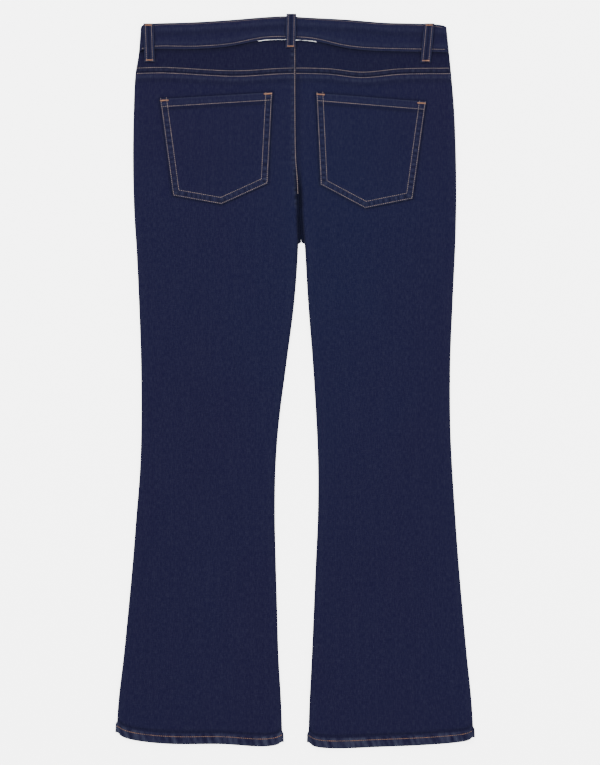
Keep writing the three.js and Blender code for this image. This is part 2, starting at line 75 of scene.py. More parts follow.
POCKET_THICK = 1.2
POCKET_LOFT = 0.15  # how much higher than its solid a pocket lies
POCKET_HEM_STITCH = 11.5
LOOP_THICK = 1.5
TACK_PITCH = 0.75
# The front panels' top edge: its heights, and the pocket mouth scooped out of it
FRONT_WAIST_MIDDLE = 472
FRONT_WAIST_SIDES = 492
FRONT_HALF_WIDTH = 232
MOUTH_FROM = 150
MOUTH_DROP = 78
MOUTH_BOW = 2.2
# How many columns a back panel has on the seat seam's web and round each fold
WEB_COLUMNS = 4
FOLD_COLUMNS = 7


class Curve:
    """A smooth curve through one column of a table, by its first column."""

    def __init__(self, rows, column=1):
        pairs = sorted((row[0], row[column]) for row in rows)
        self.keys = [key for key, _ in pairs]
        self.values = [value for _, value in pairs]
        last = len(pairs) - 1
        self.slopes = []
        for k in range(last + 1):
            a, b = max(k - 1, 0), min(k + 1, last)
            rise = self.values[b] - self.values[a]
            self.slopes.append(rise / (self.keys[b] - self.keys[a]))

    def __call__(self, place):
        keys, values = self.keys, self.values
        t = min(max(place, keys[0]), keys[-1])
        i = 0
        while i < len(keys) - 2 and keys[i + 1] < t:
            i += 1
        span = keys[i + 1] - keys[i]
        s = (t - keys[i]) / span
        start = values[i] * (1 + 2 * s) * (1 - s) ** 2 + self.slopes[i] * span * s * (1 - s) ** 2
        end = values[i + 1] * s * s * (3 - 2 * s) + self.slopes[i + 1] * span * s * s * (s - 1)
        return start + end


# y, left outer, left inner, right inner, right outer: the legs' edges in plan
EDGES = [
    (532, -231, -4, 6, 227),
    (493, -234, -4, 6, 231),
    (458, -239.5, -4, 6, 234.5),
    (403, -242, -4, 6, 239),
    (335, -243, -2.5, 7, 241.5),
    (275, -242, 2.5, 10.5, 242),
    (240, -240.5, 4, 11.5, 241.5),
    (203, -238, 5, 14.5, 240.5),
    (118, -234, -1, 19.5, 236.5),
    (28, -231, -12.5, 26.5, 233),
    (-62, -230.5, -24, 32, 233),
    (-132, -232.5, -29, 34.5, 236),
    (-202, -238, -30, 34, 240.5),
    (-272, -243.5, -28.5, 31, 245.5),
    (-342, -250, -26.5, 28, 251.5),
    (-412, -257, -24.5, 25, 258),
    (-482, -265, -20.5, 21.5, 265),
    (-545, -268.5, -18.5, 19.5, 268.5),
]
# y, middle, outer crest, inner crest, side seam, underside: how high the cloth lies
HEIGHTS = [
    (515, 7.2, 6.9, 7.2, 4.3, 2.1),
    (493, 7.0, 6.9, 7.0, 4.3, 2.1),
    (460, 6.7, 6.8, 6.7, 4.1, 2.1),
    (440, 6.0, 6.4, 6.0, 3.5, 0.6),
    (415, 5.5, 6.2, 5.5, 3.0, 0),
    (343, 5.0, 6.2, 5.3, 2.8, 0),
    (278, 5.2, 6.2, 8.6, 2.8, 0),
    (240, 5.4, 6.2, 9.8, 2.8, 0),
    (207, 5.2, 6.0, 9.8, 2.8, 0),
    (165, 4.7, 5.8, 8.6, 2.7, 0),
    (118, 4.2, 5.6, 7.2, 2.6, 0),
    (28, 3.6, 5.4, 5.8, 2.6, 0),
    (-62, 3.4, 5.2, 5.2, 2.6, 0),
    (-400, 3.4, 5.2, 5.2, 2.6, 0),
    (-520, 3.8, 5.4, 5.4, 2.6, 0),
]
SEAT_SEAM = Curve([(511, 1), (343, 2), (300, 5), (250, 7), (CROTCH_Y, 9.6)])
WAIST_TOP = Curve([(-231, 531), (-215, 535.5), (-150, 538), (-100, 541), (-20, 547),
                   (20, 545), (75, 542), (130, 537.5), (205, 535), (227, 531)])
WAIST_SEAM = Curve([(-234, 493), (-210, 497.5), (-150, 497.5), (-100, 501), (-45, 511),
                    (0, 511.5), (30, 509), (75, 499), (115, 495), (232, 492.5)])
YOKE_SEAM = Curve([(-240, 463), (-195, 464), (-90, 459), (-12, 463), (50, 462),
                   (100, 457), (160, 462), (235, 463)])
HEMS = {
    "left": Curve([(-271, -524), (-256, -533.5), (-226, -540), (-180, -543.5), (-110, -543.5),
                   (-54, -547), (-30, -545), (-16, -539)]),
    "right": Curve([(17, -539), (30, -547), (62, -550), (120, -548), (200, -544.5),
                    (255, -539), (271, -532)]),
}
OUTER = {"left": Curve(EDGES, 1), "right": Curve(EDGES, 4)}
INNER = {"left": Curve(EDGES, 2), "right": Curve(EDGES, 3)}
MIDDLE, OUTER_CREST, INNER_CREST, RIM, UNDER = (Curve(HEIGHTS, k) for k in range(1, 6))
OUT = {"left": -1, "right": 1}
# The pockets: top corners, bottom corners and point, and how far across the point lies
POCKETS = {
    "left": ((-202.5, 423), (-33.5, 433), (-183, 278), (-110, 265), (-40.5, 296.5), 0.48),
    "right": ((31.5, 432), (196.5, 419), (38, 294.5), (105, 259), (176.5, 273.5), 0.5),
}
# The belt loops on the back: x and y of the top end, then of the bottom end
LOOPS = {
    "belt_loop_back_centre": (-5.5, 550.5, -6.5, 499.5),
    "belt_loop_back_left": (-219.5, 536, -217.5, 478.5),
    "belt_loop_back_right": (201, 536, 195.5, 477.5),
}
LOOP_WIDTH = 15
# Main creases on the back: from, to, half width and height, a trough if negative
CREASES = [
    ((33, 92), (112, 99), 5, 0.75),
    ((36, 84), (120, 90), 6, -0.55),
    ((78, 78), (150, 70), 8, 0.4),
    ((-30, 88), (-98, 74), 9, 0.35),
    ((18, 190), (120, 40), 26, 0.55),
    ((-8, 178), (-96, 60), 24, 0.45),
    ((12, 236), (92, 196), 16, -0.4),
    ((-4, 228), (-80, 196), 16, -0.35),
    ((-215, 20), (-120, 6), 14, 0.3),
    ((205, -40), (120, -66), 14, 0.35),
    ((-60, -130), (-210, -210), 30, 0.35),
    ((70, -190), (215, -300), 34, 0.4),
    ((-130, -330), (-150, -500), 30, 0.35),
    ((130, -360), (150, -520), 30, 0.3),
]


def lerp(a, b, t):
    return a + (b - a) * t


def smooth(t, low, high):
    s = min(max((t - low) / (high - low), 0.0), 1.0)
    return s * s * (3 - 2 * s)


def bump(distance, width):
    return math.exp(-((distance / width) ** 2))


def soft_noise(x, y, size, seed=0.0):
    return noise.noise(Vector((x / size, y / size, seed)))


def segment_distance(x, y, a, b):
    """Distance to a segment, and how far along it the nearest point is, from 0 to 1."""
    dx, dy = b[0] - a[0], b[1] - a[1]
    t = min(max(((x - a[0]) * dx + (y - a[1]) * dy) / (dx * dx + dy * dy), 0.0), 1.0)
    return math.hypot(x - a[0] - t * dx, y - a[1] - t * dy), t


def pucker(along, across, reach, seed):
    """The cloth gathered by a row of stitches: short ridges across it, uneven in pitch and height."""
    drift = 0.8 * soft_noise(along, 0, 23, seed)
    height = 0.65 + 0.7 * soft_noise(along, 5, 17, seed + 3)
    return math.cos(2 * math.pi * (along / PUCKER_PITCH + drift)) * height * bump(across, reach)


def seat_dive(y):
    return 1 - smooth(y, 275, 335)


def relief(x, y):
    """The soft unevenness and main creases of the back, and nothing near its sewn details."""
    z = 0.3 * soft_noise(x, y, 75, 1.5) + 0.14 * soft_noise(x, y, 24, 4.0)
    for a, b, width, height in CREASES:
        across, along = segment_distance(x, y, a, b)
        if across < 2.6 * width:
            z += height * bump(across, width) * math.sin(math.pi * (0.08 + 0.84 * along)) ** 0.7
    return z


def back_top(side, x, y):
    """The back layer's top away from its folds, before the sewn details."""
    crest_outer = bump(max(abs(OUTER[side](y) - x) - FOLD, 0), 20)
    crest_inner = bump(max(abs(INNER[side](y) - x) - FOLD, 0), 28)
    middle = MIDDLE(y)
    z = middle + (OUTER_CREST(y) - middle) * crest_outer + (INNER_CREST(y) - middle) * crest_inner
    return z + relief(x, y) * (1 - 0.6 * crest_inner)


def under_pockets(x, y):
    """1 on the cloth just outside a pocket, where its edge presses the panel down and a painted shadow
    darkens it.
    """
    nearest = 1e9
    for top_left, top_right, bottom_left, point, bottom_right, _ in POCKETS.values():
        loop = [top_left, top_right, bottom_right, point, bottom_left, top_left]
        for a, b in zip(loop, loop[1:]):
            nearest = min(nearest, segment_distance(x, y, a, b)[0])
    return bump(nearest, 3.0)


def back_details(side, x, y, hem_y):
    """The sewn relief of a back panel, its wear and its painted shade: (height, wear, painted shade).
    """
    z, wear, painted_shade = 0.0, 0.0, 0.0
    from_yoke = YOKE_SEAM(x) - y
    if from_yoke < 26:
        gather = pucker(x, from_yoke - 6.5, 4.5, 2.0)
        z += 0.28 * gather + 0.35 * bump(from_yoke - 7, 3.0)
        wear += 0.3 * bump(from_yoke - 7, 2.4) * (0.7 + 0.6 * gather)
        # Painted shade just below the ridge under the yoke seam, and along the seam line itself.
        painted_shade += 0.3 * bump(from_yoke - 12, 4) + 0.5 * bump(from_yoke, 1.2)
    if y > 260 and abs(x - SEAT_SEAM(y)) < 22:
        from_seat = (x - SEAT_SEAM(y)) * OUT[side]
        if side == "left":
            gather = pucker(y, from_seat - 5, 3.6, 6.0)
            z += 0.3 * gather * smooth(y, 280, 300) + 0.25 * bump(from_seat - 5, 4.5)
            wear += (0.12 + 0.42 * max(gather, 0)) * bump(from_seat - 5, 3.6)
            # Painted shade in the troughs between the seam's gathered ridges.
            painted_shade += TROUGH_PAINTED_SHADE * max(-gather, 0) * bump(from_seat - 5, 3.2)
        else:
            z -= 0.35 * bump(from_seat - 2, 3.0)
            # Painted shade in the groove beside the seam's folded edge.
            painted_shade += 0.35 * bump(from_seat - 3, 4.0)
    from_hem = y - hem_y
    if from_hem < 34:
        rope = soft_noise(x + 0.35 * from_hem, from_hem * 0.15, 6.5, 9.0)
        band = smooth(-from_hem, -HEM_DEPTH, -HEM_DEPTH + 2.5)
        z += band * (HEM_RAISE + 0.3 * rope) + 0.3 * bump(from_hem - HEM_DEPTH + 1.5, 1.6)
        z -= 0.35 * bump(from_hem - HEM_STITCH, 1.1) * band
        wear += band * (0.22 + 1.1 * max(rope, -0.2)) + 0.22 * bump(from_hem - 1.0, 1.6)
        wear += 0.2 * bump(from_hem - HEM_DEPTH + 1.2, 1.3) * (0.6 + 0.6 * rope)
        # Painted shadow just above the hem's turned-up band, and painted shade in the troughs of its
        # roping.
        painted_shade += 0.7 * bump(from_hem - HEM_DEPTH - 2.5, 2.2) + 0.8 * band * max(-rope, 0)
        gather = pucker(x, from_hem - HEM_DEPTH - 5, 6.0, 12.0)
        z += 0.14 * gather
    if 245 < y < 445:
        pressed = under_pockets(x, y)
        z -= 0.12 * pressed
        # Painted shadow on the panel beside the pocket's edges.
        painted_shade += 0.35 * pressed
    inner_edge = abs(x - INNER[side](y))
    outer_edge = abs(x - OUTER[side](y))
    if y < 235:
        wear += 0.05 * bump(inner_edge - 6, 5) * (0.6 + soft_noise(0, y, 14, 3))
    wear += 0.05 * bump(outer_edge - 5, 4) * (0.7 + soft_noise(0, y, 14, 8))
    # Painted shade along the legs' folded edges: the outer one everywhere, the inner one from just
    # above the crotch down.
    painted_shade += 0.35 * bump(min(outer_edge, inner_edge if y < 250 else 99), 2.0)
    return z, wear, painted_shade


def panel_y(v, top_x, hem_y):
    """A panel's row at its own height, bent to the yoke seam above and to the hem below."""
    y = lerp(LEG_TOP, LEG_BOTTOM, v)
    if y > CROTCH_Y:
        top = YOKE_SEAM(top_x) - FELLED_GAP
        return lerp(CROTCH_Y, top, (y - CROTCH_Y) / (LEG_TOP - CROTCH_Y))
    if y < HEM_BEND:
        return lerp(HEM_BEND, hem_y, (HEM_BEND - y) / (HEM_BEND - LEG_BOTTOM))
    return y


def back_column(u, columns):
    """Which stretch a column is on, and how far along it: web, inner fold, middle or outer fold."""
    i = round(u * columns)
    if i < WEB_COLUMNS:
        return "web", i / WEB_COLUMNS
    if i < WEB_COLUMNS + FOLD_COLUMNS:
        return "inner", (i - WEB_COLUMNS) / FOLD_COLUMNS
    if i <= columns - FOLD_COLUMNS:
        first = WEB_COLUMNS + FOLD_COLUMNS
        return "middle", (i - first) / (columns - FOLD_COLUMNS - first)
    return "outer", (columns - i) / FOLD_COLUMNS


def column_x(side, stretch, t, y):
    """About where a column crosses a height."""
    inner, outer = INNER[side](y), OUTER[side](y)
    if stretch == "middle":
        return lerp(inner + OUT[side] * FOLD, outer - OUT[side] * FOLD, t)
    return outer if stretch == "outer" else inner


def back_point(side, stretch, t, y, hem_y=None):
    """A point of the back layer's outer face, with its wear and painted shade."""
    out = OUT[side]
    inner, outer = INNER[side](y), OUTER[side](y)
    swell = 0.0
    if hem_y is not None:
        swell = smooth(-(y - hem_y), -HEM_DEPTH, -HEM_DEPTH + 2.5)
    low_edge = NO_HEM if hem_y is None else hem_y
    if stretch == "middle":
        x = lerp(inner + out * FOLD, outer - out * FOLD, t)
        z, wear, painted_shade = back_details(side, x, y, low_edge)
        return x, y, back_top(side, x, y) + z, wear, painted_shade
    if stretch == "outer":
        turn = t * math.pi / 2
        inset = FOLD * (1 - math.cos(turn))
        crest = back_top(side, outer - out * FOLD, y)
        z, wear, painted_shade = back_details(side, outer - out * inset, y, low_edge)
        foot = RIM(y) + SEAM_GAP / 2
        x = outer - out * inset + out * swell * HEM_SWELL * (1 - math.sin(turn))
        return x, y, lerp(foot, crest + z, math.sin(turn)), wear, painted_shade
    crest_x = inner + out * FOLD
    crest = back_top(side, crest_x, y)
    foot = lerp(crest, INNER_RIM, seat_dive(y))
    if stretch == "inner":
        turn = t * math.pi / 2
        inset = FOLD * (1 - math.cos(turn))
        z, wear, painted_shade = back_details(side, inner + out * inset, y, low_edge)
        x = inner + out * inset - out * swell * HEM_SWELL * (1 - math.sin(turn))
        return x, y, lerp(foot, crest, math.sin(turn)) + z * math.sin(turn), wear, painted_shade
    if y < CROTCH_Y:
        # Painted shade: the web below the crotch, tucked between the legs, is darkened evenly.
        return inner + out * INSEAM_INSET * (1 - t), y, foot - INSEAM_DROP * (1 - t), 0.0, 0.9
    x = lerp(SEAT_SEAM(y) + out * SEAM_GAP / 2, inner, t)
    z, wear, painted_shade = back_details(side, x, y, low_edge)
    dive = seat_dive(y)
    lifted = foot - WEB_DROP * dive * (1 - t) + z * (1 - dive)
    # Towards the crotch the web's wear fades out and painted shade darkens it, for the gap between the
    # legs.
    return x, y, lifted, wear * (1 - dive), painted_shade + dive


def surface(x, y):
    """The back's finished top at a point of the plan."""
    side = "left" if x < SEAT_SEAM(y) else "right"
    hem_y = HEMS[side](x)
    if y > YOKE_SEAM(x):
        return back_top(side, x, y) + yoke_details(side, x, y)[0]
    return back_top(side, x, y) + back_details(side, x, y, hem_y)[0]


def yoke_details(side, x, y):
    above = y - YOKE_SEAM(x)
    below = WAIST_SEAM(x) - y
    gather = pucker(x, above - 2.5, 4.0, 15.0)
    z = 0.22 * gather + 0.2 * bump(above - 3.0, 3.0)
    wear = (0.1 + 0.3 * max(gather, 0)) * bump(above - 3.2, 3.0)
    # Painted shadow under the waistband, painted shade in the troughs between the gathered ridges and
    # along the yoke seam.
    painted_shade = 0.75 * bump(below, 5.0) + TROUGH_PAINTED_SHADE * max(-gather, 0) * bump(above - 2.6, 2.6)
    painted_shade += 0.5 * bump(above, 1.2)
    from_seat = (x - SEAT_SEAM(y)) * OUT[side]
    if side == "left":
        seat = pucker(y, from_seat - 5, 3.6, 6.0)
        z += 0.25 * seat + 0.2 * bump(from_seat - 5, 4.0)
        wear += (0.12 + 0.4 * max(seat, 0)) * bump(from_seat - 5, 3.6)
        # Painted shade in the troughs between the seat seam's gathered ridges.
        painted_shade += TROUGH_PAINTED_SHADE * max(-seat, 0) * bump(from_seat - 5, 3.2)
    else:
        z -= 0.3 * bump(from_seat - 2, 3.0)
    return z, wear, painted_shade


def grid_piece(name, columns, rows, place, thickness, up=1):
    """A closed thin wall on a mapped grid. place(u, v) gives x, y, z, wear and painted shade in
    millimetres.
    """
    bm = bmesh.new()
    bmesh.ops.create_grid(bm, x_segments=columns, y_segments=rows, size=0.5)
    worn, painted_shading = [], []
    for vertex in bm.verts:
        x, y, z, wear, painted_shade = place(vertex.co.x + 0.5, vertex.co.y + 0.5)
        vertex.co = Vector((x, y, z)) * MM
        worn.append(wear)
        painted_shading.append(painted_shade)
    bmesh.ops.recalc_face_normals(bm, faces=bm.faces)
    if sum(face.normal.z for face in bm.faces) * up < 0:
        bmesh.ops.reverse_faces(bm, faces=bm.faces)
    mesh = bpy.data.meshes.new(name)
    bm.to_mesh(mesh)
    bm.free()
    for key, values in (("wear", worn), ("painted_shade", painted_shading)):
        mesh.attributes.new(key, "FLOAT", "POINT").data.foreach_set("value", values)
    piece = bpy.data.objects.new(name, mesh)
    bpy.context.scene.collection.objects.link(piece)
    for face in mesh.polygons:
        face.use_smooth = True
    wall = piece.modifiers.new("wall", "SOLIDIFY")
    wall.thickness = thickness * MM
    wall.offset = -1
    wall.use_even_offset = False
    return piece


def settle(piece, node, material):
    """Gives a piece its material and ties it to the frame in place of its CAD node."""
    piece.data.materials.append(material)
    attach(piece, "root")
    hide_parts(node)


class Value:
    """A shader socket that works in Python expressions."""

    def __init__(self, tree, socket):
        self.tree = tree
        self.socket = socket

    def _math(self, operation, *values):
        node = self.tree.make("ShaderNodeMath", {"operation": operation}, values)
        return Value(self.tree, node.outputs[0])

    def __add__(self, other):
        return self._math("ADD", self, other)

    def __sub__(self, other):
        return self._math("SUBTRACT", self, other)

    def __rsub__(self, other):
        return self._math("SUBTRACT", other, self)

    def __mul__(self, other):
        return self._math("MULTIPLY", self, other)

    def clamp(self, low=0.0, high=1.0):
        return self._math("MINIMUM", self._math("MAXIMUM", self, low), high)

    def above(self, low, high):
        """0 below low, 1 above high, and a straight ramp between them."""
        return ((self - low) * (1 / (high - low))).clamp()

    __radd__ = __add__
    __rmul__ = __mul__


class Shader:
    """A material's node tree, with one method that makes its nodes."""

    def __init__(self, name):
        self.material = bpy.data.materials.new(name)
        self.material.use_nodes = True
        self.nodes = self.material.node_tree.nodes
        self.links = self.material.node_tree.links
        self.bsdf = self.nodes["Principled BSDF"]

    def make(self, kind, settings=None, values=()):
        node = self.nodes.new(kind)
        for key, value in (settings or {}).items():
            setattr(node, key, value)
        pairs = values.items() if isinstance(values, dict) else enumerate(values)
        for key, value in pairs:
            self.feed(node.inputs[key], value)
        return node

    def feed(self, socket, value):
        if isinstance(value, Value):
            self.links.new(value.socket, socket)
        elif hasattr(value, "is_output"):
            self.links.new(value, socket)
        else:
            socket.default_value = value

    def attribute(self, name):
        node = self.make("ShaderNodeAttribute", {"attribute_name": name})
        return Value(self, node.outputs["Fac"])

    def noise(self, vector, scale, detail=2.0, roughness=0.5):
        values = {"Vector": vector, "Scale": scale, "Detail": detail, "Roughness": roughness}
        node = self.make("ShaderNodeTexNoise", {}, values)
        return Value(self, node.outputs[0])

    def stretched(self, x, y, turn=0.0):
        """Object coordinates, turned in plan and then scaled."""
        coords = self.make("ShaderNodeTexCoord").outputs["Object"]
        values = {"Vector": coords, "Rotation": (0, 0, turn), "Scale": (x, y, 1)}
        return self.make("ShaderNodeMapping", {"vector_type": "POINT"}, values).outputs[0]

    def near_seat(self):
        """1 beside the crotch on the right leg, fading out over the seat and thigh."""
        coords = self.make("ShaderNodeTexCoord").outputs["Object"]
        values = {"Vector": coords, "Location": (-0.05, -0.105, 0), "Scale": (1, 0.5, 0)}
        moved = self.make("ShaderNodeMapping", {"vector_type": "POINT"}, values).outputs[0]
        length = self.make("ShaderNodeVectorMath", {"operation": "LENGTH"}, [moved])
        return (0.2 - Value(self, length.outputs["Value"])).above(0.0, 0.17)

    def mix(self, share, a, b):
        settings = {"data_type": "RGBA", "blend_type": "MIX"}
        node = self.make("ShaderNodeMix", settings, {0: share, 6: a, 7: b})
        return node.outputs[2]


def denim(name, base, blue, worn=(0.065, 0.072, 0.105, 1)):
    """Indigo twill: fine diagonal weave, upright slubs, light specks, wear from the piece, and painted
    shade from the piece that darkens it towards near-black.
    """
    s = Shader(name)
    patches = s.noise(s.stretched(5, 3), 1.0, 3.0)
    slubs = s.noise(s.stretched(700, 130), 1.0, 2.0)
    streaks = s.noise(s.stretched(240, 12), 1.0, 2.0)
    weft = s.noise(s.stretched(150, 700), 1.0, 2.0)
    twill = s.make(
        "ShaderNodeTexWave",
        {"wave_type": "BANDS", "bands_direction": "X"},
        {"Vector": s.stretched(1, 1, math.radians(32)), "Scale": 340.0, "Distortion": 1.2},
    )
    weave = Value(s, twill.outputs["Fac"])
    specks = s.noise(s.stretched(700, 420), 1.0, 1.0).above(0.66, 0.8)
    cloth = s.mix((patches.above(0.3, 0.75) * 0.5 + s.near_seat() * 0.9).clamp(), base, blue)
    light = slubs.above(0.4, 0.8) * 0.085 + streaks.above(0.4, 0.75) * 0.02
    light = light + weave * 0.025 + weft.above(0.48, 0.85) * 0.06 + specks * 0.1
    wear = s.attribute("wear")
    share = (wear.clamp(0.0, 1.1) * (0.2 + slubs * 0.36) + light).clamp(0.0, 1.0)
    lit = s.mix(share, cloth, worn)
    # Painted shade: the piece's shade values mix the colour towards this near-black.
    dark = (s.attribute("painted_shade") * 0.6).clamp(0.0, 0.85)
    painted_shading = s.mix(dark, lit, (0.0015, 0.002, 0.006, 1))
    s.feed(s.bsdf.inputs["Base Color"], painted_shading)
    s.feed(s.bsdf.inputs["Roughness"], 0.92 - share * 0.08)
    s.bsdf.inputs["Specular IOR Level"].default_value = 0.06
    s.bsdf.inputs["Sheen Weight"].default_value = 0.02
    s.bsdf.inputs["Sheen Roughness"].default_value = 0.5
    height = slubs * 0.5 + weave * 0.35 + weft * 0.3
    values = {"Strength": 0.55, "Distance": 0.0004, "Height": height}
    s.feed(s.bsdf.inputs["Normal"], s.make("ShaderNodeBump", {}, values).outputs[0])
    return s.material


def thread(name, colour, dark):
    s = Shader(name)
    mottle = s.noise(s.stretched(90, 90), 1.0, 2.0)
    s.feed(s.bsdf.inputs["Base Color"], s.mix(mottle.above(0.35, 0.65), colour, dark))
    s.bsdf.inputs["Roughness"].default_value = 0.75
    s.bsdf.inputs["Specular IOR Level"].default_value = 0.3
    return s.material


def metal(name):
    s = Shader(name)
    tarnish = s.noise(s.stretched(300, 300), 1.0, 3.0)
    colour = s.mix(tarnish.above(0.3, 0.75), (0.3, 0.19, 0.09, 1), (0.12, 0.08, 0.045, 1))
    s.feed(s.bsdf.inputs["Base Color"], colour)
    s.bsdf.inputs["Metallic"].default_value = 1.0
    s.bsdf.inputs["Roughness"].default_value = 0.42
    return s.material


LEG_DENIM = denim("leg_denim", (0.0048, 0.0036, 0.021, 1), (0.0042, 0.0046, 0.0235, 1))
YOKE_DENIM = denim("yoke_denim", (0.0034, 0.0023, 0.0165, 1), (0.003, 0.003, 0.018, 1))
TRIM_DENIM = denim("trim_denim", (0.0048, 0.004, 0.0215, 1), (0.0044, 0.005, 0.0235, 1))
TAN_THREAD = thread("tan_thread", (0.2, 0.15, 0.135, 1), (0.11, 0.09, 0.09, 1))
HEM_THREAD = thread("hem_thread", (0.2, 0.1, 0.06, 1), (0.1, 0.06, 0.05, 1))
TACK_THREAD = thread("tack_thread", (0.32, 0.15, 0.075, 1), (0.18, 0.09, 0.06, 1))
BUTTON_METAL = metal("button_metal")


def make_back_panel(side):
    hem = HEMS[side]
    columns, rows = 108, 384

    def place(u, v):
        stretch, t = back_column(u, columns)
        hem_y = hem(column_x(side, stretch, t, LEG_BOTTOM))
        y = panel_y(v, column_x(side, stretch, t, LEG_TOP), hem_y)
        return back_point(side, stretch, t, y, hem_y)

    piece = grid_piece(side + "_back_panel_cloth", columns, rows, place, DENIM)
    settle(piece, side + "_back_panel", LEG_DENIM)


def make_yoke(side):
    columns, rows = 108, 22

    def place(u, v):
        stretch, t = back_column(u, columns)
        top = WAIST_SEAM(column_x(side, stretch, t, 500)) - SEAM_GAP / 2
        low = YOKE_SEAM(column_x(side, stretch, t, LEG_TOP)) + FELLED_GAP
        y = lerp(top, low, v)
        x, y, z, _, _ = back_point(side, stretch, t, y)
        lift, wear, painted_shade = yoke_details(side, x, y)
        plain = 1.0 if stretch in ("middle", "inner", "web") else math.sin(t * math.pi / 2)
        return x, y, z + lift * plain, wear, painted_shade

    piece = grid_piece(side + "_yoke_cloth", columns, rows, place, DENIM)
    settle(piece, side + "_yoke", YOKE_DENIM)


def band_height(x, y):
    side = "left" if x < 0 else "right"
    return back_top(side, x, min(y, BAND_FLAT_Y))


def band_details(x, y):
    """The waistband's two soft ridges, its stitch grooves and worn edges, with painted shade in the
    valley between the ridges and in the lower stitch groove.
    """
    top = WAIST_TOP(x) - y
    bottom = y - WAIST_SEAM(x)
    gather = pucker(x, bottom - 4.5, 5.0, 21.0)
    z = 0.28 * bump(top - 9.5, 4.0) + 0.35 * bump(bottom - 9.0, 3.5) + 0.18 * gather
    z -= 0.3 * bump(bottom - 4.5, 1.2) + 0.2 * bump(top - 2.4, 1.0)
    wear = 0.34 * bump(bottom - 0.6, 1.3) + 0.2 * bump(bottom - 9.0, 3.0) * (0.6 + 0.5 * gather)
    wear += 0.13 * bump(top - 9.5, 3.2) + 0.12 * bump(top - 0.5, 1.4)
    return z, wear, 0.3 * bump(top - 16, 4) + 0.25 * bump(bottom - 4.5, 1.5)


def make_waistband():
    columns, rows = 240, 20
    left, right = OUTER["left"], OUTER["right"]

    def place(u, v):
        i = round(u * columns)
        near = lerp(left(510), right(510), u)
        y = lerp(WAIST_TOP(near), WAIST_SEAM(near) + SEAM_GAP / 2, v)
        lift, wear, painted_shade = band_details(near, y)
        crown = 0.25 * (1 - (2 * v - 1) ** 6) - 0.25
        ends = {"left": i, "right": columns - i}
        side = min(ends, key=ends.get)
        if ends[side] < FOLD_COLUMNS:
            turn = ends[side] / FOLD_COLUMNS * math.pi / 2
            out = OUT[side]
            outer = OUTER[side](y)
            x = outer - out * FOLD * (1 - math.cos(turn))
            crest = band_height(outer - out * FOLD, y) + lift + crown
            foot = RIM(y) + SEAM_GAP / 2
            return x, y, lerp(foot, crest, math.sin(turn)), wear, painted_shade
        t = (i - FOLD_COLUMNS) / (columns - 2 * FOLD_COLUMNS)
        x = lerp(left(y) + FOLD, right(y) - FOLD, t)
        return x, y, band_height(x, y) + lift + crown, wear, painted_shade

    piece = grid_piece("waistband_back_cloth", columns, rows, place, BAND_THICK)
    settle(piece, "waistband_back", TRIM_DENIM)


def pocket_point(side, u, v):
    """A point of a pocket in plan: u across from its left edge, v down from its mouth."""
    top_left, top_right, bottom_left, point, bottom_right, share = POCKETS[side]
    top_x, top_y = (lerp(top_left[k], top_right[k], u) for k in (0, 1))
    if u <= share:
        low = [lerp(bottom_left[k], point[k], u / share) for k in (0, 1)]
    else:
        low = [lerp(point[k], bottom_right[k], (u - share) / (1 - share)) for k in (0, 1)]
    return lerp(top_x, low[0], v), lerp(top_y, low[1], v)


def pocket_edges(side):
    """The pocket's sides and foot as one path from corner to corner."""
    top_left, top_right, bottom_left, point, bottom_right, _ = POCKETS[side]
    return [top_left, bottom_left, point, bottom_right, top_right]


def pocket_details(side, x, y):
    z, wear, painted_shade = 0.0, 0.0, 0.0
    path = pocket_edges(side)
    run = 0.0
    for a, b in zip(path, path[1:]):
        across, t = segment_distance(x, y, a, b)
        length = math.dist(a, b)
        if across < 22:
            gather = pucker(run + t * length, across - 5.5, 4.2, 30.0 + len(side))
            z += 0.3 * gather
            wear += (0.06 + 0.34 * max(gather, 0)) * bump(across - 7, 5.0)
            # Painted shade in the troughs between the gathered ridges beside the pocket's edges.
            painted_shade += TROUGH_PAINTED_SHADE * max(-gather, 0) * bump(across - 5.5, 3.4)
            z -= 0.25 * (bump(across - 1.6, 1.0) + bump(across - 1.6 - POCKET_ROWS, 1.0))
            wear += 0.25 * bump(across, 1.0)
        run += length
    top_left, top_right = path[0], path[-1]
    down, t = segment_distance(x, y, top_left, top_right)
    fold = smooth(-down, -13.5, -12)
    gather = pucker(t * 170, down - 7, 5.5, 41.0 + len(side))
    z += 0.5 * fold + 0.22 * gather
    z -= 0.25 * bump(down - POCKET_HEM_STITCH, 1.0)
    wear += 0.3 * bump(down - 0.6, 1.2) + (0.08 + 0.12 * max(gather, 0)) * bump(down - 7, 4.5)
    # Painted shadow just below the pocket's turned-down hem.
    painted_shade += 0.6 * bump(down - 15.5, 2.4)
    return z, wear, painted_shade


def make_pocket(side):
    columns, rows = 96, 96

    def place(u, v):
        x, y = pocket_point(side, u, v)
        z, wear, painted_shade = pocket_details(side, x, y)
        rest = back_top(side, x, y) + SEAM_GAP + POCKET_THICK + POCKET_LOFT
        return x, y, rest + z, wear, painted_shade

    piece = grid_piece(side + "_back_pocket_cloth", columns, rows, place, POCKET_THICK)
    settle(piece, side + "_back_pocket", LEG_DENIM)


def loop_point(name, u, v):
    top_x, top_y, low_x, low_y = LOOPS[name]
    x = lerp(top_x, low_x, v) + (u - 0.5) * LOOP_WIDTH
    y = lerp(top_y, low_y, v)
    return x, y


def loop_height(name, u, v):
    x, y = loop_point(name, 0.5, v)
    stand = 1.0 * math.sin(math.pi * v) ** 0.5 if 0 < v < 1 else 0.0
    twin = bump(u - 0.27, 0.12) + bump(u - 0.73, 0.12)
    ends = 0.25 * (bump(v - 0.03, 0.04) + bump(v - 0.97, 0.04))
    return band_height(x, y) + SEAM_GAP + LOOP_THICK + stand + 0.45 * twin + ends


